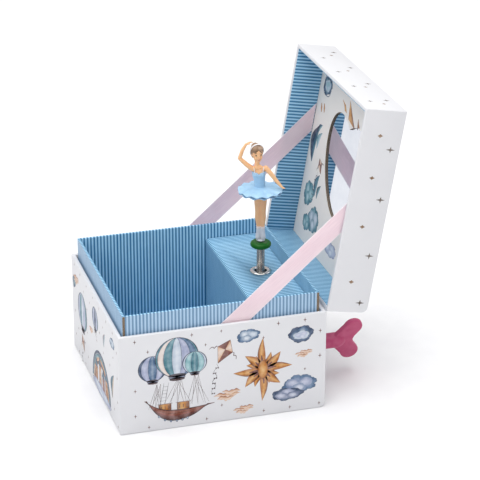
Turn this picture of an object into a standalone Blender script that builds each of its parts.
"""A wind up music box: a paper-covered board box, a lined lid with a mirror, and a dancer on a spring.

Metres, +Z up. The origin is the centre of the base's underside. -Y is the front, where the lid opens,
+Y the back with the hinge and the key. The lid is modelled open, leaning on its two ribbons.
"""

from math import acos, atan2, copysign, cos, hypot, pi, radians, sin, sqrt

import bmesh
import bpy
from mathutils import Matrix, Vector

MM = 0.001

# The box.
SIDE = 110 * MM
BASE_HEIGHT = 55 * MM
LID_HEIGHT = 22 * MM
WALL = 2.1 * MM
GAP = 0.3 * MM
BASE_HEEL_ROUND = 2.7 * MM
LID_HEEL_ROUND = 3.2 * MM
OPEN_ANGLE = radians(99.8)

# The liner frame that stands inside the base and guides the lid.
LINER_INSET = 3.1 * MM
LINER_BOARD = 1.4 * MM
LINER_LIP = 10 * MM

# The deck that covers the movement, and the compartment floor.
DECK_FRONT = 20.1 * MM
DECK_BOARD = 1.8 * MM
DECK_TOP = BASE_HEIGHT + 1.6 * MM
PAD_BOARD = 1.2 * MM

# The lid's inside.
LINING_PAPER = 0.35 * MM
PAPER_GAP = 0.08 * MM
LID_STANDOFF = 0.2 * MM
PANEL_DEPTH = 16.5 * MM
PANEL_BOARD = 0.8 * MM

# The window is a heart: two leaning ovals, mirror images that cross on the middle line.
WINDOW_CENTRE = 57.3 * MM
WINDOW_SPREAD = 4.8 * MM
WINDOW_LONG = 30.1 * MM
WINDOW_WIDE = 19.9 * MM
WINDOW_LEAN = radians(31.6)
MIRROR_GLASS = 1.1 * MM
MIRROR_HALF = 33 * MM

# The ribbons.
RIBBON_WIDTH = 10 * MM
RIBBON_THICK = 0.3 * MM
RIBBON_RISE = radians(41.2)
RIBBON_PLANE = SIDE / 2 - 2.85 * MM

# The dancer's axis, which is also the pinned cylinder's.
AXIS_Y = 36.4 * MM
EYELET_FLANGE = 5.8 * MM
EYELET_BORE = 3.3 * MM
SPRING_OUTER = 2.2 * MM
SPRING_INNER = 1.65 * MM
SPRING_FOOT = 53.8 * MM
SPRING_TOP = 70.3 * MM
TILT_HEIGHT = 64.2 * MM
DISC_RADIUS = 5.6 * MM
DISC_BOTTOM = 70.7 * MM
DISC_THICK = 3.6 * MM
FACING = radians(-16.6)

# The key and the barrel share one axis through the back wall.
KEY_X = 20 * MM
KEY_Z = 20 * MM
ARBOR_RADIUS = 1.5 * MM
ARBOR_HOLE = 3.2 * MM
KEY_HUB_RADIUS = 4.2 * MM
KEY_TURN = radians(20)
LOBE_RADIUS = 5.1 * MM
LOBE_REACH = 26.1 * MM
LOBE_SPREAD = 9 * MM

# The wheel train: teeth and pitch radii keep one tooth pitch at each mesh.
GREAT_TEETH = 40
WHEEL_TEETH = 24
WHEEL_PITCH = 8 * MM
GREAT_PITCH = WHEEL_PITCH * GREAT_TEETH / WHEEL_TEETH
CROWN_PITCH = 6 * MM
PINION_TEETH = 12
PINION_PITCH = CROWN_PITCH * PINION_TEETH / WHEEL_TEETH
WHEEL_Z = KEY_Z - sqrt((GREAT_PITCH + WHEEL_PITCH) ** 2 - KEY_X ** 2)
WHEEL_FRONT = AXIS_Y + 4 * MM
WHEEL_THICK = 2 * MM
DRIVE_TEETH = 33
DRIVE_PITCH = 8.25 * MM
GOVERNOR_TEETH = 11
GOVERNOR_PITCH = DRIVE_PITCH * GOVERNOR_TEETH / DRIVE_TEETH
GOVERNOR_X = DRIVE_PITCH + GOVERNOR_PITCH
WORM_WHEEL_TEETH = 14
WORM_WHEEL_PITCH = 3 * MM
WORM_PITCH = 1.4 * MM
WORM_X = GOVERNOR_X + WORM_WHEEL_PITCH + WORM_PITCH
WORM_Z = 38.9 * MM
CROWN_RISE = 1.2 * MM
BEDPLATE_FRONT = WHEEL_FRONT + WHEEL_THICK + 1.5 * MM
BEDPLATE_THICK = 1.5 * MM
CYLINDER_RADIUS = 6.5 * MM
CYLINDER_BORE = 1.15 * MM
CYLINDER_LOW = 24 * MM
CYLINDER_HIGH = 44.4 * MM
NOTES = 18
PIN_HEIGHT = 0.5 * MM
SCREW_SPOTS = ((-20 * MM, 15 * MM), (30 * MM, 42 * MM), (-20 * MM, 48 * MM))
SCREW_SHANK = 1 * MM
SCREW_BORE = 1.25 * MM
WALL_SKIN = 0.5 * MM

HALF = SIDE / 2
LINER_OUTER = HALF - LINER_INSET
LINER_INNER = LINER_OUTER - LINER_BOARD
LINER_TOP = BASE_HEIGHT + LINER_LIP


def clear_scene():
    for item in list(bpy.data.objects):
        bpy.data.objects.remove(item)


def material(name, colour, roughness, metallic=0.0):
    made = bpy.data.materials.new(name)
    made.use_nodes = True
    shader = made.node_tree.nodes["Principled BSDF"]
    shader.inputs["Base Color"].default_value = (*colour, 1)
    shader.inputs["Roughness"].default_value = roughness
    shader.inputs["Metallic"].default_value = metallic
    return made


def make_materials():
    return {
        "wrap": material("wrap_paper", (0.82, 0.82, 0.84), 0.5),
        "stripe": material("striped_paper", (0.33, 0.52, 0.70), 0.6),
        "print": material("printed_paper", (0.80, 0.80, 0.82), 0.5),
        "mirror": material("mirror", (0.85, 0.88, 0.92), 0.03, 1.0),
        "foam": material("foam_tape", (0.75, 0.75, 0.72), 0.9),
        "satin": material("pink_satin", (0.82, 0.66, 0.72), 0.35),
        "steel": material("steel", (0.62, 0.62, 0.62), 0.3, 1.0),
        "nickel": material("nickel", (0.75, 0.73, 0.70), 0.2, 1.0),
        "brass": material("brass", (0.72, 0.55, 0.26), 0.3, 1.0),
        "iron": material("cast_zinc", (0.45, 0.45, 0.46), 0.45, 1.0),
        "key": material("pink_plastic", (0.50, 0.06, 0.17), 0.4),
        "green": material("green_plastic", (0.0, 0.18, 0.02), 0.3),
        "doll": material("painted_plastic", (0.80, 0.45, 0.25), 0.45),
        "dress": material("blue_plastic", (0.38, 0.60, 0.80), 0.4),
    }


def add_object(name, bm, surface, smooth=None):
    """A named object from a bmesh. smooth is the angle in degrees under which edges are shaded smooth."""
    bmesh.ops.recalc_face_normals(bm, faces=bm.faces)
    mesh = bpy.data.meshes.new(name)
    bm.to_mesh(mesh)
    bm.free()
    mesh.materials.append(surface)
    if smooth:
        mesh.shade_smooth()
        mesh.set_sharp_from_angle(angle=radians(smooth))
    made = bpy.data.objects.new(name, mesh)
    bpy.context.scene.collection.objects.link(made)
    return made


def pivot(name, place):
    """An empty on a joint's axis, which carries the pieces that move about it."""
    made = bpy.data.objects.new(name, None)
    made.location = place
    made.empty_display_size = 0.01
    bpy.context.scene.collection.objects.link(made)
    return made


def carry(parent, *pieces):
    """Parents pieces modelled in world coordinates to a pivot, leaving them where they are."""
    for piece in pieces:
        piece.parent = parent
        piece.matrix_parent_inverse = Matrix.Translation(-Vector(parent.location))


def prism(outline, low, high):
    """A closed solid from one outline in the XY plane."""
    bm = bmesh.new()
    loops = [[bm.verts.new((x, y, z)) for x, y in outline] for z in (low, high)]
    bm.faces.new(reversed(loops[0]))
    bm.faces.new(loops[1])
    bridge(bm, loops[0], loops[1])
    return bm


def bridge(bm, first, second):
    """Quads between two closed loops with the same number of points."""
    for i in range(len(first)):
        j = (i + 1) % len(first)
        bm.faces.new((first[i], first[j], second[j], second[i]))


def ring(outer, inner, low, high):
    """A tube between two outlines with the same number of points."""
    bm = bmesh.new()
    loops = []
    for outline, z in ((outer, low), (outer, high), (inner, high), (inner, low)):
        loops.append([bm.verts.new((x, y, z)) for x, y in outline])
    for i in range(4):
        bridge(bm, loops[i], loops[(i + 1) % 4])
    return bm


def turned(profile, segments):
    """A closed profile of (radius, height) points turned about Z. Points at radius 0 become poles."""
    bm = bmesh.new()
    loops = []
    for radius, z in profile:
        if radius == 0:
            loops.append([bm.verts.new((0, 0, z))])
            continue
        spots = [(radius * cos(a), radius * sin(a), z) for a in angles(segments)]
        loops.append([bm.verts.new(spot) for spot in spots])
    for i in range(len(loops)):
        lower, upper = loops[i], loops[(i + 1) % len(loops)]
        if len(lower) > 1 and len(upper) > 1:
            bridge(bm, lower, upper)
        elif len(lower) + len(upper) > 2:
            pole, rim = (lower, upper) if len(lower) == 1 else (upper, lower)
            for k in range(segments):
                bm.faces.new((pole[0], rim[k], rim[(k + 1) % segments]))
    return bm


def angles(count):
    return [2 * pi * i / count for i in range(count)]


def circle(radius, count):
    return [(radius * cos(a), radius * sin(a)) for a in angles(count)]


def rectangle(x0, x1, y0, y1):
    return [(x0, y0), (x1, y0), (x1, y1), (x0, y1)]


def square(half):
    return rectangle(-half, half, -half, half)


def block(x0, x1, y0, y1, z0, z1):
    return prism(rectangle(x0, x1, y0, y1), z0, z1)


def gear_outline(teeth, pitch, rise, fall):
    """Tooth flanks as straight lines: a wide root, 0.42 of the pitch at the pitch circle, a narrow tip."""
    points = []
    step = 2 * pi / teeth
    corners = ((-0.27, -fall), (-0.14, rise), (0.14, rise), (0.27, -fall))
    for i in range(teeth):
        for share, offset in corners:
            a = (i + share) * step
            points.append(((pitch + offset) * cos(a), (pitch + offset) * sin(a)))
    return points


def gear_ring(teeth, pitch, rise, fall, bore, low, high):
    outline = gear_outline(teeth, pitch, rise, fall)
    inner = [(bore * x / hypot(x, y), bore * y / hypot(x, y)) for x, y in outline]
    return ring(outline, inner, low, high)


def mating_phase(mesh_a, teeth_a, mesh_b, teeth_b):
    """How far to turn wheel B so that its gap meets a tooth of wheel A, whose first tooth is at angle 0.

    mesh_a and mesh_b are the angles, each about its own wheel, of the place where the two meet.
    """
    return mesh_b + (0.5 + mesh_a * teeth_a / (2 * pi)) * 2 * pi / teeth_b


def spin(bm, angle):
    bmesh.ops.rotate(bm, cent=(0, 0, 0), matrix=Matrix.Rotation(angle, 3, "Z"), verts=bm.verts)


def along_y(bm, x, y, z):
    """Turns a shape made about Z to lie along +Y from the point given."""
    bmesh.ops.transform(bm, matrix=Matrix.Rotation(-pi / 2, 4, "X"), verts=bm.verts)
    bmesh.ops.translate(bm, vec=(x, y, z), verts=bm.verts)
    return bm


def upright(bm, x, y):
    bmesh.ops.translate(bm, vec=(x, y, 0), verts=bm.verts)
    return bm


def along_x(bm, x, y, z):
    """Turns an outline drawn in (Y, Z) and raised along Z into one raised along +X."""
    swap = Matrix(((0, 0, 1, 0), (1, 0, 0, 0), (0, 1, 0, 0), (0, 0, 0, 1)))
    bmesh.ops.transform(bm, matrix=swap, verts=bm.verts)
    bmesh.ops.translate(bm, vec=(x, y, z), verts=bm.verts)
    return bm


def use_boolean(target, other, operation="DIFFERENCE"):
    """Cuts or joins with a helper, which stays in the file as a hidden wire shape."""
    other.hide_render = True
    other.display_type = "WIRE"
    step = target.modifiers.new(other.name, "BOOLEAN")
    step.operation = operation
    step.object = other


def round_edges(bm, chosen, width, segments):
    edges = [edge for edge in bm.edges if chosen(*[vert.co for vert in edge.verts])]
    bmesh.ops.bevel(
        bm, geom=edges, offset=width, segments=segments, profile=0.5, affect="EDGES", clamp_overlap=True
    )


def tray(height, heel_round):
    """An open tray, floor at z = 0, whose back heel is rounded."""
    outline = [(-HALF, height), (-HALF, 0)]
    for i in range(6):
        a = i * pi / 10
        outline.append((HALF - heel_round + heel_round * sin(a), heel_round - heel_round * cos(a)))
    outline.append((HALF, height))
    bm = along_x(prism(outline, -HALF, HALF), 0, 0, 0)
    top = max(bm.faces, key=lambda face: face.calc_center_median().z)
    bmesh.ops.inset_region(bm, faces=[top], thickness=WALL, use_even_offset=True)
    sunk = bmesh.ops.extrude_discrete_faces(bm, faces=[top])["faces"][0]
    bmesh.ops.translate(bm, vec=(0, 0, WALL - height), verts=sunk.verts)
    return bm


def make_base(paint):
    base = add_object("base_tray", tray(BASE_HEIGHT, BASE_HEEL_ROUND), paint["wrap"])
    liner = ring(square(LINER_OUTER), square(LINER_INNER), WALL + GAP, LINER_TOP)
    liner = add_object("base_liner", liner, paint["stripe"])
    pad_z = WALL + GAP
    half = LINER_INNER - GAP
    pad = block(-half, half, -half, DECK_FRONT - GAP, pad_z, pad_z + PAD_BOARD)
    add_object("compartment_floor", pad, paint["stripe"])
    # The arbor's hole goes through both walls; the screws' holes end inside the outer wall.
    through = 2 * HALF
    blind = HALF - WALL_SKIN
    holes = [(KEY_X, KEY_Z, ARBOR_HOLE, through)]
    holes += [(x, z, SCREW_BORE, blind) for x, z in SCREW_SPOTS]
    for i, (x, z, radius, far) in enumerate(holes):
        near = LINER_INNER - 5 * MM
        hole = along_y(prism(circle(radius, 24), 0, far - near), x, near, z)
        cutter = add_object(f"wall_hole_{i}", hole, paint["steel"])
        use_boolean(liner, cutter)
        use_boolean(base, cutter)


def make_deck(paint):
    """The folded board over the movement: a front wall, a rounded nose and the top."""
    radius = 2 * MM
    low = WALL + GAP
    back = LINER_INNER - GAP
    outline = [(DECK_FRONT, low)]
    for i in range(5):
        a = pi - i * pi / 8
        outline.append((DECK_FRONT + radius + radius * cos(a), DECK_TOP - radius + radius * sin(a)))
    outline += [(back, DECK_TOP), (back, DECK_TOP - DECK_BOARD)]
    outline += [(DECK_FRONT + DECK_BOARD, DECK_TOP - DECK_BOARD), (DECK_FRONT + DECK_BOARD, low)]
    half = LINER_INNER - GAP
    deck = add_object("deck_board", along_x(prism(outline, -half, half), 0, 0, 0), paint["stripe"])
    hole = prism(circle(EYELET_BORE + 1.1 * MM, 24), DECK_TOP - 5 * MM, DECK_TOP + 5 * MM)
    use_boolean(deck, add_object("deck_hole", upright(hole, 0, AXIS_Y), paint["steel"]))
    profile = [
        (EYELET_BORE, DECK_TOP - DECK_BOARD - 1 * MM),
        (EYELET_BORE + 0.7 * MM, DECK_TOP - DECK_BOARD - 1 * MM),
        (EYELET_BORE + 0.7 * MM, DECK_TOP + 0.1 * MM),
        (EYELET_FLANGE, DECK_TOP + 0.1 * MM),
        (EYELET_FLANGE - 0.4 * MM, DECK_TOP + 0.7 * MM),
        (EYELET_BORE + 0.6 * MM, DECK_TOP + 0.9 * MM),
        (EYELET_BORE, DECK_TOP + 0.4 * MM),
    ]
    add_object("deck_eyelet", upright(turned(profile, 28), 0, AXIS_Y), paint["nickel"], 40)


def lid_matrix():
    """From the lid's own frame to the world.

    In the lid's own frame Y runs from the front rim at -HALF to the hinge at +HALF and Z from the rim
    plane at 0 up to the closed lid's top.
    """
    turn = Matrix.Rotation(-OPEN_ANGLE, 4, "X")
    to_hinge = Matrix.Translation((0, HALF, BASE_HEIGHT))
    from_hinge = Matrix.Translation((0, -HALF, LID_STANDOFF))
    return to_hinge @ turn @ from_hinge


def lid_object(name, bm, surface, hinge, smooth=None):
    bmesh.ops.transform(bm, matrix=lid_matrix(), verts=bm.verts)
    made = add_object(name, bm, surface, smooth)
    carry(hinge, made)
    return made


def make_lid(paint, hinge):
    shell = tray(LID_HEIGHT, LID_HEEL_ROUND)
    flip = Matrix.Translation((0, 0, LID_HEIGHT)) @ Matrix.Diagonal((1, 1, -1, 1))
    bmesh.ops.transform(shell, matrix=flip, verts=shell.verts)
    lid_object("lid_shell", shell, paint["wrap"], hinge)
    outer = HALF - WALL - PAPER_GAP
    lining = ring(square(outer), square(outer - LINING_PAPER), 0.5 * MM, PANEL_DEPTH - PAPER_GAP)
    lid_object("lid_lining", lining, paint["stripe"], hinge)
    panel = block(-outer, outer, -outer, outer, PANEL_DEPTH, PANEL_DEPTH + PANEL_BOARD)
    panel = lid_object("lid_panel", panel, paint["print"], hinge)
    window = prism(heart(64), 0, 40 * MM)
    bmesh.ops.translate(window, vec=(0, HALF - WINDOW_CENTRE, 0), verts=window.verts)
    use_boolean(panel, lid_object("window_hole", window, paint["print"], hinge))
    make_mirror(paint, hinge, outer)


def window_reach(a):
    """How far the heart's outline is from its middle in one direction, measured from the right upwards."""
    side, rise = abs(cos(a)), sin(a)
    lean_x, lean_y = sin(WINDOW_LEAN), cos(WINDOW_LEAN)
    start = Vector((-WINDOW_SPREAD * lean_x / WINDOW_LONG, -WINDOW_SPREAD * lean_y / WINDOW_WIDE))
    step_long = (side * lean_x + rise * lean_y) / WINDOW_LONG
    step_wide = (side * lean_y - rise * lean_x) / WINDOW_WIDE
    step = Vector((step_long, step_wide))
    cross = start.dot(step)
    square = step.dot(step)
    return (-cross + sqrt(cross ** 2 - square * (start.dot(start) - 1))) / square


def heart(steps):
    """The outline of the window about its middle, in the lid's own frame, with the tip towards the hinge."""
    outline = []
    for i in range(steps):
        a = -2 * pi * i / steps
        outline.append((window_reach(a) * cos(a), -window_reach(a) * sin(a)))
    return outline


def make_mirror(paint, hinge, outer):
    """The glass behind the window, and the four strips of foam tape round it.

    The strips hold the panel off the lid's top.
    """
    low = PANEL_DEPTH + PANEL_BOARD + 0.1 * MM
    mid_y = HALF - WINDOW_CENTRE
    glass = block(-MIRROR_HALF, MIRROR_HALF, mid_y - MIRROR_HALF, mid_y + MIRROR_HALF, low, low + MIRROR_GLASS)
    lid_object("mirror", glass, paint["mirror"], hinge)
    high = LID_HEIGHT - WALL - 0.1 * MM
    strip = 8 * MM
    edge = outer - 1 * MM
    spots = {
        "front": (-edge, edge, -edge, -edge + strip),
        "back": (-edge, edge, edge - strip, edge),
        "left": (-edge, -edge + strip, -edge + strip + GAP, edge - strip - GAP),
        "right": (edge - strip, edge, -edge + strip + GAP, edge - strip - GAP),
    }
    for side, spot in spots.items():
        lid_object(f"foam_tape_{side}", block(*spot, low, high), paint["foam"], hinge)


def make_hinge_strip(paint):
    """The strip of wrap paper that joins the two back walls and folds as the lid moves."""
    paper = 0.2 * MM
    reach = 7 * MM
    off = 0.05 * MM
    half = HALF - 1.5 * MM
    down = Vector((0, -1))
    out = Vector((sin(OPEN_ANGLE), cos(OPEN_ANGLE)))
    corner = Vector((HALF, BASE_HEIGHT))
    inner_corner = corner + fold_corner(down, out, off)
    outer_corner = corner + fold_corner(down, out, off + paper)
    side_down = Vector((1, 0))
    side_out = Vector((out.y, -out.x))
    outline = [
        inner_corner,
        corner + down * reach + side_down * off,
        corner + down * reach + side_down * (off + paper),
        outer_corner,
        corner + out * reach + side_out * (off + paper),
        corner + out * reach + side_out * off,
    ]
    strip = along_x(prism([tuple(point) for point in outline], -half, half), 0, 0, 0)
    return add_object("hinge_strip", strip, paint["wrap"])


def fold_corner(down, out, off):
    """Where two lines meet that run at the distance off from the two walls, inside their corner."""
    half_angle = acos(down.dot(out)) / 2
    middle = (down + out).normalized()
    return middle * (off / sin(half_angle))


def make_ribbons(paint):
    """Flat ribbons from the gap between wall and liner up to the lid's side wall."""
    start = Vector((-4.5 * MM, 44.5 * MM))
    along = Vector((cos(RIBBON_RISE), sin(RIBBON_RISE)))
    across = Vector((-along.y, along.x)) * (RIBBON_WIDTH / 2)
    hinge = Vector((HALF, BASE_HEIGHT))
    into = Vector((sin(OPEN_ANGLE), cos(OPEN_ANGLE)))
    depth = PANEL_DEPTH + LID_STANDOFF - 0.5 * MM
    ends = []
    for side in (1, -1):
        first = start + across * side
        length = (depth - (first - hinge).dot(into)) / along.dot(into)
        ends.append((first, first + along * length))
    outline = [ends[0][0], ends[0][1], ends[1][1], ends[1][0]]
    for name, side in (("ribbon_left", -1), ("ribbon_right", 1)):
        middle = side * RIBBON_PLANE
        low, high = middle - RIBBON_THICK / 2, middle + RIBBON_THICK / 2
        strip = prism([tuple(point) for point in outline], low, high)
        add_object(name, along_x(strip, 0, 0, 0), paint["satin"])


def make_bedplate(paint):
    """The plate that carries the movement, with an ear above and an ear below the pinned cylinder."""
    back = BEDPLATE_FRONT + BEDPLATE_THICK
    plate = block(-24 * MM, 34 * MM, BEDPLATE_FRONT, back, 10 * MM, 51 * MM)
    plate = add_object("bedplate", plate, paint["iron"])
    over = 0.4 * MM
    low_ear = [
        (-14 * MM, BEDPLATE_FRONT + over),
        (-14 * MM, AXIS_Y - 2.6 * MM),
        (2.6 * MM, AXIS_Y - 2.6 * MM),
        (2.6 * MM, AXIS_Y + 2.1 * MM),
        (-9.6 * MM, AXIS_Y + 2.1 * MM),
        (-9.6 * MM, BEDPLATE_FRONT + over),
    ]
    top_ear = rectangle(-4 * MM, 4 * MM, AXIS_Y - 3 * MM, BEDPLATE_FRONT + over)
    use_boolean(plate, add_object("low_ear", prism(low_ear, 13.8 * MM, 15.2 * MM), paint["iron"]), "UNION")
    use_boolean(plate, add_object("top_ear", prism(top_ear, 47 * MM, 48.4 * MM), paint["iron"]), "UNION")
    bores = [
        along_y(prism(circle(ARBOR_RADIUS + GAP, 20), 0, 12 * MM), KEY_X, BEDPLATE_FRONT - 4 * MM, KEY_Z),
        along_y(prism(circle(0.9 * MM, 16), 0, 12 * MM), 0, BEDPLATE_FRONT - 4 * MM, WHEEL_Z),
        along_y(prism(circle(0.85 * MM, 16), 0, 12 * MM), WORM_X, BEDPLATE_FRONT - 4 * MM, WORM_Z),
        upright(prism(circle(1.25 * MM, 20), 12 * MM, 55 * MM), 0, AXIS_Y),
    ]
    for x, z in SCREW_SPOTS:
        bores.append(along_y(prism(circle(SCREW_BORE, 16), 0, 12 * MM), x, BEDPLATE_FRONT - 4 * MM, z))
    bores.append(block(-6.5 * MM, 6.5 * MM, BEDPLATE_FRONT - 4 * MM, back + 4 * MM, 44.2 * MM, 46.8 * MM))
    for i, bore in enumerate(bores):
        use_boolean(plate, add_object(f"bedplate_bore_{i}", bore, paint["iron"]))


def screw(name, surface, x, y, z, shank, length, head):
    """A pan-head screw whose shank runs along +Y from the point where the head's underside sits."""
    profile = [(0, -1.1 * MM), (head * 0.7, -1.1 * MM), (head, -0.5 * MM), (head, 0)]
    profile += [(shank, 0), (shank, length - shank), (0, length)]
    return add_object(name, along_y(turned(profile, 14), x, y, z), surface, 40)


def make_mounting(paint):
    """Spacer tubes between the bedplate and the liner, with screws through them into the back wall."""
    low = BEDPLATE_FRONT + BEDPLATE_THICK + 0.1 * MM
    high = LINER_INNER - 0.1 * MM
    for i, (x, z) in enumerate(SCREW_SPOTS, 1):
        tube = ring(circle(2.4 * MM, 20), circle(SCREW_BORE, 20), 0, high - low)
        add_object(f"mount_spacer_{i}", along_y(tube, x, low, z), paint["brass"], 40)
        start = BEDPLATE_FRONT - 0.1 * MM
        length = HALF - WALL_SKIN - GAP - start
        screw(f"mount_screw_{i}", paint["steel"], x, start, z, SCREW_SHANK, length, 2.2 * MM)


def comb_outline():
    """The comb seen along Y: a root along the base and one tooth for each note."""
    root = -14 * MM
    tip = -(CYLINDER_RADIUS + PIN_HEIGHT + 0.3 * MM)
    step = (CYLINDER_HIGH - CYLINDER_LOW - 1 * MM) / NOTES
    low = CYLINDER_LOW + 0.5 * MM
    points = [(-22 * MM, low), (-22 * MM, low + step * NOTES)]
    for i in reversed(range(NOTES)):
        z = low + step * i
        points.append((root, z + step * 0.85))
        points.append((tip, z + step * 0.75))
        points.append((tip, z + step * 0.25))
        points.append((root, z + step * 0.15))
    return points


def make_comb(paint):
    """The steel comb and the block under it, drawn in (X, -Z) and laid along Y."""
    face = AXIS_Y + 0.45 * MM
    outline = [(x, -z) for x, z in comb_outline()]
    comb = along_y(prism(outline, -0.9 * MM, 0), 0, face, 0)
    comb = add_object("comb", comb, paint["steel"])
    low, high = CYLINDER_LOW + 1 * MM, CYLINDER_HIGH - 1 * MM
    rest = block(-22 * MM, -15 * MM, face + 0.1 * MM, BEDPLATE_FRONT - 0.1 * MM, low, high)
    rest = add_object("comb_rest", rest, paint["iron"])
    for i, z in enumerate((CYLINDER_LOW + 4 * MM, CYLINDER_HIGH - 4 * MM), 1):
        hole = along_y(prism(circle(1.1 * MM, 14), -3 * MM, 4.2 * MM), -18.3 * MM, face, z)
        cutter = add_object(f"comb_hole_{i}", hole, paint["iron"])
        use_boolean(comb, cutter)
        use_boolean(rest, cutter)
        screw(f"comb_screw_{i}", paint["steel"], -18.3 * MM, face - 1 * MM, z, 0.9 * MM, 4.5 * MM, 1.9 * MM)


def make_cylinder(paint, spindle):
    """The vertical pinned cylinder on its arbor, with the crown pinion below and the drive gear above."""
    profile = [(0, 12.4 * MM), (1 * MM, 12.8 * MM), (1 * MM, 60 * MM), (0, 60.5 * MM)]
    arbor = add_object("spindle", upright(turned(profile, 16), 0, AXIS_Y), paint["steel"], 40)
    drum = add_object("pinned_cylinder", upright(pinned_drum(), 0, AXIS_Y), paint["brass"])
    mesh_z = WHEEL_Z + CROWN_PITCH
    low, high = mesh_z - 1 * MM, mesh_z + 1 * MM
    pinion = gear_ring(PINION_TEETH, PINION_PITCH, 0.5 * MM, 0.7 * MM, 1.1 * MM, low, high)
    spin(pinion, mating_phase(0, WHEEL_TEETH, pi / 2, PINION_TEETH))
    pinion = add_object("crown_pinion", upright(pinion, 0, AXIS_Y), paint["brass"])
    drive = gear_ring(DRIVE_TEETH, DRIVE_PITCH, 0.45 * MM, 0.6 * MM, 1.1 * MM, 44.8 * MM, 46.2 * MM)
    drive = add_object("drive_gear", upright(drive, 0, AXIS_Y), paint["brass"])
    carry(spindle, arbor, drum, pinion, drive)


def pinned_drum():
    """A tube whose skin is a grid of faces; the faces of the tune are drawn out into pins."""
    columns = 36
    rows = NOTES
    step = (CYLINDER_HIGH - CYLINDER_LOW) / rows
    bm = bmesh.new()
    loops = []
    for row in range(rows + 1):
        z = CYLINDER_LOW + row * step
        loops.append([bm.verts.new((x, y, z)) for x, y in circle(CYLINDER_RADIUS, columns)])
    for z in (CYLINDER_HIGH, CYLINDER_LOW):
        loops.append([bm.verts.new((x, y, z)) for x, y in circle(CYLINDER_BORE, columns)])
    for i in range(len(loops)):
        bridge(bm, loops[i], loops[(i + 1) % len(loops)])
    bm.faces.ensure_lookup_table()
    pins = [bm.faces[note * columns + column] for note in range(NOTES) for column in tune(note, columns)]
    for face in bmesh.ops.extrude_discrete_faces(bm, faces=pins)["faces"]:
        middle = face.calc_center_median()
        out = Vector((*middle.xy, 0)).normalized() * PIN_HEIGHT
        for vert in face.verts:
            vert.co = middle.lerp(vert.co, 0.4) + out
    return bm


def tune(note, columns):
    """Where round the cylinder a note has its pins: a rising and falling figure."""
    return sorted({(5 * note + 3) % columns, (11 * note + 20) % columns, (columns - 7 * note) % columns})


def make_crown_wheel(paint, wheel):
    """Spur teeth round the rim and crown teeth on the front face, one for one."""
    bm = bmesh.new()
    step = 2 * pi / WHEEL_TEETH
    shares = (-0.27, -0.14, 0.14, 0.27)
    low, high = CROWN_PITCH - 1 * MM, CROWN_PITCH + 0.9 * MM
    rings = ((0.85 * MM, 0), (low, 0), (high, 0), (WHEEL_PITCH, 0.6 * MM))
    loops = []
    for radius, swing in rings:
        loops.append([])
        for i in range(WHEEL_TEETH):
            for share, side in zip(shares, (-1, 1, 1, -1)):
                a = (i + share) * step
                loops[-1].append((radius + side * swing) * Vector((cos(a), sin(a), 0)))
    front = [[bm.verts.new((x, y, 0)) for x, y, z in loop] for loop in loops]
    back = [[bm.verts.new((x, y, WHEEL_THICK)) for x, y, z in (loops[-1], loops[0])[k]] for k in (0, 1)]
    for first, second in zip(front + back, front[1:] + back + front[:1]):
        bridge(bm, first, second)
    bm.faces.ensure_lookup_table()
    count = 4 * WHEEL_TEETH
    teeth = [bm.faces[count + 4 * i + 1] for i in range(WHEEL_TEETH)]
    for face in bmesh.ops.extrude_discrete_faces(bm, faces=teeth)["faces"]:
        bmesh.ops.translate(bm, vec=(0, 0, -CROWN_RISE), verts=face.verts)
    made = add_object("crown_wheel", along_y(bm, 0, WHEEL_FRONT, WHEEL_Z), paint["brass"])
    profile = [(0, -0.5 * MM), (0.7 * MM, -0.5 * MM), (0.7 * MM, 4.4 * MM), (0, 4.4 * MM)]
    arbor = along_y(turned(profile, 14), 0, WHEEL_FRONT, WHEEL_Z)
    arbor = add_object("crown_arbor", arbor, paint["steel"], 40)
    carry(wheel, made, arbor)


def make_barrel(paint, barrel):
    """The great wheel, the spring drum in front of it, the mainspring and the drum's cover."""
    bore = ARBOR_RADIUS + 0.15 * MM
    teeth = gear_ring(GREAT_TEETH, GREAT_PITCH, 0.6 * MM, 0.7 * MM, bore, 0, WHEEL_THICK)
    toward = atan2(KEY_Z - WHEEL_Z, KEY_X)
    spin(teeth, mating_phase(-toward, WHEEL_TEETH, pi - toward, GREAT_TEETH))
    great = add_object("great_wheel", along_y(teeth, KEY_X, WHEEL_FRONT, KEY_Z), paint["brass"])
    radius = 11.2 * MM
    depth = 8.6 * MM
    profile = [
        (bore, depth),
        (bore, depth - 0.8 * MM),
        (radius - 0.8 * MM, depth - 0.8 * MM),
        (radius - 0.8 * MM, 0),
        (radius, 0),
        (radius, depth),
    ]
    front = WHEEL_FRONT - 0.2 * MM - depth
    drum = add_object("spring_drum", along_y(turned(profile, 40), KEY_X, front, KEY_Z), paint["iron"], 40)
    cover = ring(circle(radius - 1 * MM, 40), circle(bore, 40), 0, 0.7 * MM)
    cover = add_object("drum_cover", along_y(cover, KEY_X, front, KEY_Z), paint["brass"], 40)
    strip = spiral(ARBOR_RADIUS + 0.6 * MM, radius - 1.3 * MM, 5.5, 0.35 * MM, 6 * MM)
    spring = add_object("mainspring", along_y(strip, KEY_X, front + 1.1 * MM, KEY_Z), paint["steel"])
    carry(barrel, great, drum, cover, spring)


def spiral(inner, outer, turns, thick, width):
    """A flat spiral strip, evenly spaced, on edge."""
    steps = int(turns * 20)
    sides = []
    for offset in (0, thick):
        points = []
        for i in range(steps + 1):
            radius = inner + (outer - thick - inner) * i / steps + offset
            a = 2 * pi * turns * i / steps
            points.append((radius * cos(a), radius * sin(a)))
        sides.append(points)
    return prism(sides[0] + sides[1][::-1], 0, width)


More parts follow.
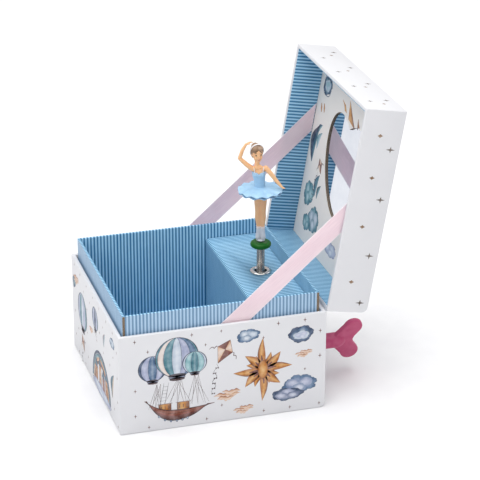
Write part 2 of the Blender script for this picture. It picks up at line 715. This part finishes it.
def make_key(paint, winder):
    """The arbor that winds the spring, and the plastic wing key screwed on its end."""
    low = WHEEL_FRONT - 9.6 * MM
    long = 63 * MM - low
    edge = 0.3 * MM
    profile = [(0, 0), (ARBOR_RADIUS - edge, 0), (ARBOR_RADIUS, edge), (ARBOR_RADIUS, long), (0, long)]
    arbor = add_object("winding_arbor", along_y(turned(profile, 20), KEY_X, low, KEY_Z), paint["steel"], 40)
    start = HALF + 2 * MM
    bore = ARBOR_RADIUS + 0.15 * MM
    hub = [
        (0, 9 * MM),
        (bore, 9 * MM),
        (bore, 0),
        (KEY_HUB_RADIUS - 0.5 * MM, 0),
        (KEY_HUB_RADIUS, 0.5 * MM),
        (KEY_HUB_RADIUS, 16 * MM),
        (KEY_HUB_RADIUS * 0.86, 18.4 * MM),
        (KEY_HUB_RADIUS * 0.5, 20 * MM),
        (0, 20.6 * MM),
    ]
    key = add_object("winding_key", along_y(turned(hub, 32), KEY_X, start, KEY_Z), paint["key"], 40)
    wing = prism(wing_outline(), -1.5 * MM, 1.5 * MM)
    round_edges(wing, lambda a, b: abs(a.z - b.z) < 1e-6, 0.6 * MM, 2)
    along_x(wing, 0, 0, 0)
    bmesh.ops.transform(wing, matrix=Matrix.Rotation(KEY_TURN, 4, "Y"), verts=wing.verts)
    bmesh.ops.translate(wing, vec=(KEY_X, HALF, KEY_Z), verts=wing.verts)
    wing = add_object("key_wing", wing, paint["key"])
    use_boolean(key, wing, "UNION")
    carry(winder, arbor, key, wing)


def wing_outline():
    """The wing in (distance from the wall, distance from the axis): two round lobes and a round notch."""
    half = [(12 * MM, 0), (15.5 * MM, 3.2 * MM)]
    for i in range(10):
        a = radians(165 - i * 22)
        half.append((LOBE_REACH + LOBE_RADIUS * cos(a), LOBE_SPREAD + LOBE_RADIUS * sin(a)))
    half.append((27.6 * MM, 2.2 * MM))
    low = [(x, -y) for x, y in reversed(half) if y > 0]
    return half + [(27 * MM, 0)] + low


def make_governor(paint, governor, fan):
    """The brake that keeps the tune even: a worm wheel drives a worm with a two-bladed fan."""
    bracket = [
        (BEDPLATE_FRONT - 0.1 * MM, 34.7 * MM),
        (BEDPLATE_FRONT - 0.1 * MM, 43.2 * MM),
        (31.5 * MM, 43.2 * MM),
        (31.5 * MM, 36.6 * MM),
        (32.5 * MM, 36.6 * MM),
        (32.5 * MM, 42.2 * MM),
        (BEDPLATE_FRONT - 1.1 * MM, 42.2 * MM),
        (BEDPLATE_FRONT - 1.1 * MM, 35.7 * MM),
        (34 * MM, 35.7 * MM),
        (34 * MM, 34.7 * MM),
    ]
    frame = along_x(prism(bracket, 7.9 * MM, 18.5 * MM), 0, 0, 0)
    frame = add_object("governor_frame", frame, paint["iron"])
    bores = [
        along_y(prism(circle(0.8 * MM, 16), 0, 20 * MM), WORM_X, 28 * MM, WORM_Z),
        upright(prism(circle(1 * MM, 16), 30 * MM, 50 * MM), GOVERNOR_X, AXIS_Y),
    ]
    for i, bore in enumerate(bores):
        use_boolean(frame, add_object(f"governor_bore_{i}", bore, paint["iron"]))
    arbor = turned([(0, 35 * MM), (0.7 * MM, 35.2 * MM), (0.7 * MM, 46.6 * MM), (0, 46.8 * MM)], 12)
    arbor = add_object("governor_arbor", upright(arbor, GOVERNOR_X, AXIS_Y), paint["steel"], 40)
    pinion = gear_ring(GOVERNOR_TEETH, GOVERNOR_PITCH, 0.4 * MM, 0.65 * MM, 0.8 * MM, 44.8 * MM, 46.2 * MM)
    spin(pinion, mating_phase(0, DRIVE_TEETH, pi, GOVERNOR_TEETH))
    pinion = add_object("governor_pinion", upright(pinion, GOVERNOR_X, AXIS_Y), paint["brass"])
    low = WORM_Z - 1 * MM
    wheel = gear_ring(WORM_WHEEL_TEETH, WORM_WHEEL_PITCH, 0.3 * MM, 0.35 * MM, 0.8 * MM, low, low + 2 * MM)
    wheel = add_object("worm_wheel", upright(wheel, GOVERNOR_X, AXIS_Y), paint["brass"])
    carry(governor, arbor, pinion, wheel)
    shaft = along_y(worm(), WORM_X, 0, WORM_Z)
    shaft = add_object("worm", shaft, paint["steel"])
    blades = add_object("governor_fan", along_y(fan_blades(), WORM_X, 26.5 * MM, WORM_Z), paint["brass"])
    carry(fan, shaft, blades)


def worm():
    """A shaft along Z with a thin helical thread over the stretch that meets the worm wheel."""
    sides = 16
    lead = 2 * pi * WORM_WHEEL_PITCH / WORM_WHEEL_TEETH
    rings_per_lead = 10
    start, stop = AXIS_Y - 2 * lead, AXIS_Y + 2 * lead
    root = 0.95 * MM
    stations = [(26 * MM, 0.6 * MM), (start - 0.4 * MM, 0.6 * MM)]
    bm = bmesh.new()
    loops = []
    for z, radius in stations:
        loops.append([bm.verts.new((radius * cos(a), radius * sin(a), z)) for a in angles(sides)])
    for k in range(4 * rings_per_lead + 1):
        z = start + k * lead / rings_per_lead
        loop = []
        for a in angles(sides):
            phase = (z - AXIS_Y) / lead - a / (2 * pi)
            lift = max(0.0, cos(2 * pi * phase)) ** 2
            radius = root + (WORM_PITCH + 0.2 * MM - root) * lift
            loop.append(bm.verts.new((radius * cos(a), radius * sin(a), z)))
        loops.append(loop)
    for z, radius in ((stop + 0.4 * MM, 0.6 * MM), (BEDPLATE_FRONT + 1.2 * MM, 0.6 * MM)):
        loops.append([bm.verts.new((radius * cos(a), radius * sin(a), z)) for a in angles(sides)])
    for first, second in zip(loops, loops[1:]):
        bridge(bm, first, second)
    bm.faces.new(reversed(loops[0]))
    bm.faces.new(loops[-1])
    return bm


def fan_blades():
    """Two thin vanes on a split hub round the worm's shaft."""
    hub = 1.2 * MM
    tip = 4.6 * MM
    half = 0.3 * MM
    bore = 0.7 * MM
    count = 24
    outline, inner = [], []
    for a in angles(count):
        x, y = cos(a), sin(a)
        inner.append((bore * x, bore * y))
        if abs(x) > 0.5 and abs(y) * hub < half + 0.02 * MM:
            outline.append((copysign(tip, x), copysign(half, y)))
        else:
            outline.append((hub * x, hub * y))
    return ring(outline, inner, 0, 4.5 * MM)


def make_spring(paint, stem):
    """The coil that carries the dancer, as a plain tube, and the plug in its top end."""
    tube = ring(circle(SPRING_OUTER, 20), circle(SPRING_INNER, 20), SPRING_FOOT, SPRING_TOP)
    spring = add_object("dancer_spring", upright(tube, 0, AXIS_Y), paint["steel"], 40)
    high = DISC_BOTTOM - 0.2 * MM
    profile = [(0, 66 * MM), (1.5 * MM, 66.3 * MM), (1.5 * MM, high), (0, high)]
    plug = add_object("spring_plug", upright(turned(profile, 16), 0, AXIS_Y), paint["steel"], 40)
    carry(stem, spring, plug)


def make_dancer(paint, dancer):
    """The green disc, the figure on it and her stiff skirt."""
    top = DISC_BOTTOM + DISC_THICK
    profile = [
        (0, DISC_BOTTOM),
        (DISC_RADIUS - 1.2 * MM, DISC_BOTTOM),
        (DISC_RADIUS, DISC_BOTTOM + 1 * MM),
        (DISC_RADIUS, top - 1 * MM),
        (DISC_RADIUS - 1 * MM, top),
        (0, top),
    ]
    disc = add_object("pedestal_disc", upright(turned(profile, 32), 0, AXIS_Y), paint["green"], 40)
    figure = add_object("dancer_figure", place_figure(figure_body()), paint["doll"], 60)
    remesh = figure.modifiers.new("skin", "REMESH")
    remesh.mode = "VOXEL"
    remesh.voxel_size = 0.42 * MM
    thin = figure.modifiers.new("thin_out", "DECIMATE")
    thin.ratio = 0.09
    waist = 103.6 * MM
    skirt_profile = [
        (4.0 * MM, waist + 1.6 * MM),
        (4.4 * MM, waist + 1.9 * MM),
        (8 * MM, waist + 1 * MM),
        (12.2 * MM, waist - 1.2 * MM),
        (11.9 * MM, waist - 1.9 * MM),
        (8 * MM, waist - 0.4 * MM),
        (4.4 * MM, waist + 0.2 * MM),
        (4.0 * MM, waist + 0.4 * MM),
    ]
    skirt = add_object("dancer_tutu", upright(turned(skirt_profile, 36), 0, AXIS_Y), paint["dress"], 40)
    carry(dancer, disc, figure, skirt)


def place_figure(bm):
    bmesh.ops.transform(bm, matrix=Matrix.Rotation(FACING, 4, "Z"), verts=bm.verts)
    return upright(bm, 0, AXIS_Y)


def figure_body():
    """The figure in her own frame: +X ahead, +Y to her left, heights above the box's underside."""
    bm = bmesh.new()
    sole = DISC_BOTTOM + DISC_THICK + 0.3 * MM
    limbs = [
        ((-0.4, -1.0, None, 1.3), (-0.2, -1.1, 81.5, 1.5)),
        ((0.6, 1.0, None, 1.3), (0.4, 0.6, 81.5, 1.5)),
        ((-0.2, -1.1, 81.5, 1.4), (-0.1, -1.3, 90, 1.9)),
        ((0.4, 0.6, 81.5, 1.4), (0.1, 0.7, 90, 1.9)),
        ((-0.1, -1.3, 90, 1.7), (0, -1.4, 101, 2.4)),
        ((0.1, 0.7, 90, 1.7), (0, 1.0, 101, 2.4)),
        ((0, -0.3, 99.5, 3.1), (0, -0.7, 106.5, 2.5)),
        ((0, -0.7, 106.5, 2.5), (0, -1.4, 113, 3.0)),
        ((0, -4.2, 115, 1.3), (0, 2.2, 115.6, 1.3)),
        ((0, -1.8, 115, 1.4), (0.2, -2.3, 121, 1.3)),
        ((0.4, -2.3, 124.2, 3.2), (0.2, -2.3, 125.6, 3.3)),
        ((-2.4, -2.2, 127.4, 1.7), (-2.2, -2.2, 127.0, 1.7)),
        ((0, -4.6, 115.3, 1.3), (0.4, -11.2, 121.2, 1.0)),
        ((0.4, -11.2, 121.2, 1.0), (0.6, -7.0, 129.6, 0.8)),
        ((0.6, -7.0, 129.6, 0.8), (0.4, -4.9, 130.4, 0.7)),
        ((0, 2.6, 115.8, 1.3), (0.6, 8.0, 108.6, 1.0)),
        ((0.6, 8.0, 108.6, 1.0), (1.4, 11.4, 105.0, 0.8)),
    ]
    for first, second in limbs:
        ends = []
        for x, y, z, radius in (first, second):
            height = sole + radius * MM if z is None else z * MM
            ends.append((Vector((x * MM, y * MM, height)), radius * MM))
        limb(bm, *ends[0], *ends[1])
    return bm


def limb(bm, start, start_radius, end, end_radius):
    """A tapered limb with round ends, closed, added to the mesh."""
    axis = end - start
    turn = axis.to_track_quat("Z", "Y").to_matrix().to_4x4()
    profile = []
    for i in range(5):
        a = -pi / 2 + i * pi / 8
        profile.append((start_radius * cos(a), start_radius * sin(a)))
    for i in range(5):
        a = i * pi / 8
        profile.append((end_radius * cos(a), axis.length + end_radius * sin(a)))
    profile[0] = (0, -start_radius)
    profile[-1] = (0, axis.length + end_radius)
    piece = turned(profile, 14)
    bmesh.ops.recalc_face_normals(piece, faces=piece.faces)
    bmesh.ops.transform(piece, matrix=Matrix.Translation(start) @ turn, verts=piece.verts)
    joined = bpy.data.meshes.new("limb")
    piece.to_mesh(joined)
    piece.free()
    bm.from_mesh(joined)
    bpy.data.meshes.remove(joined)


def main():
    clear_scene()
    bpy.context.scene.unit_settings.system = "METRIC"
    paint = make_materials()
    make_base(paint)
    make_deck(paint)
    make_lid(paint, pivot("lid_pivot", (0, HALF, BASE_HEIGHT)))
    make_hinge_strip(paint)
    make_ribbons(paint)
    make_bedplate(paint)
    make_mounting(paint)
    make_comb(paint)
    make_cylinder(paint, pivot("cylinder_pivot", (0, AXIS_Y, CYLINDER_LOW)))
    make_crown_wheel(paint, pivot("crown_wheel_pivot", (0, WHEEL_FRONT, WHEEL_Z)))
    make_barrel(paint, pivot("barrel_pivot", (KEY_X, WHEEL_FRONT, KEY_Z)))
    make_key(paint, pivot("key_pivot", (KEY_X, HALF, KEY_Z)))
    governor = pivot("governor_pivot", (GOVERNOR_X, AXIS_Y, WORM_Z))
    make_governor(paint, governor, pivot("fan_pivot", (WORM_X, AXIS_Y, WORM_Z)))
    stem = pivot("tilt_pivot", (0, AXIS_Y, TILT_HEIGHT))
    make_spring(paint, stem)
    dancer = pivot("dancer_pivot", (0, AXIS_Y, TILT_HEIGHT))
    carry(stem, dancer)
    make_dancer(paint, dancer)


main()
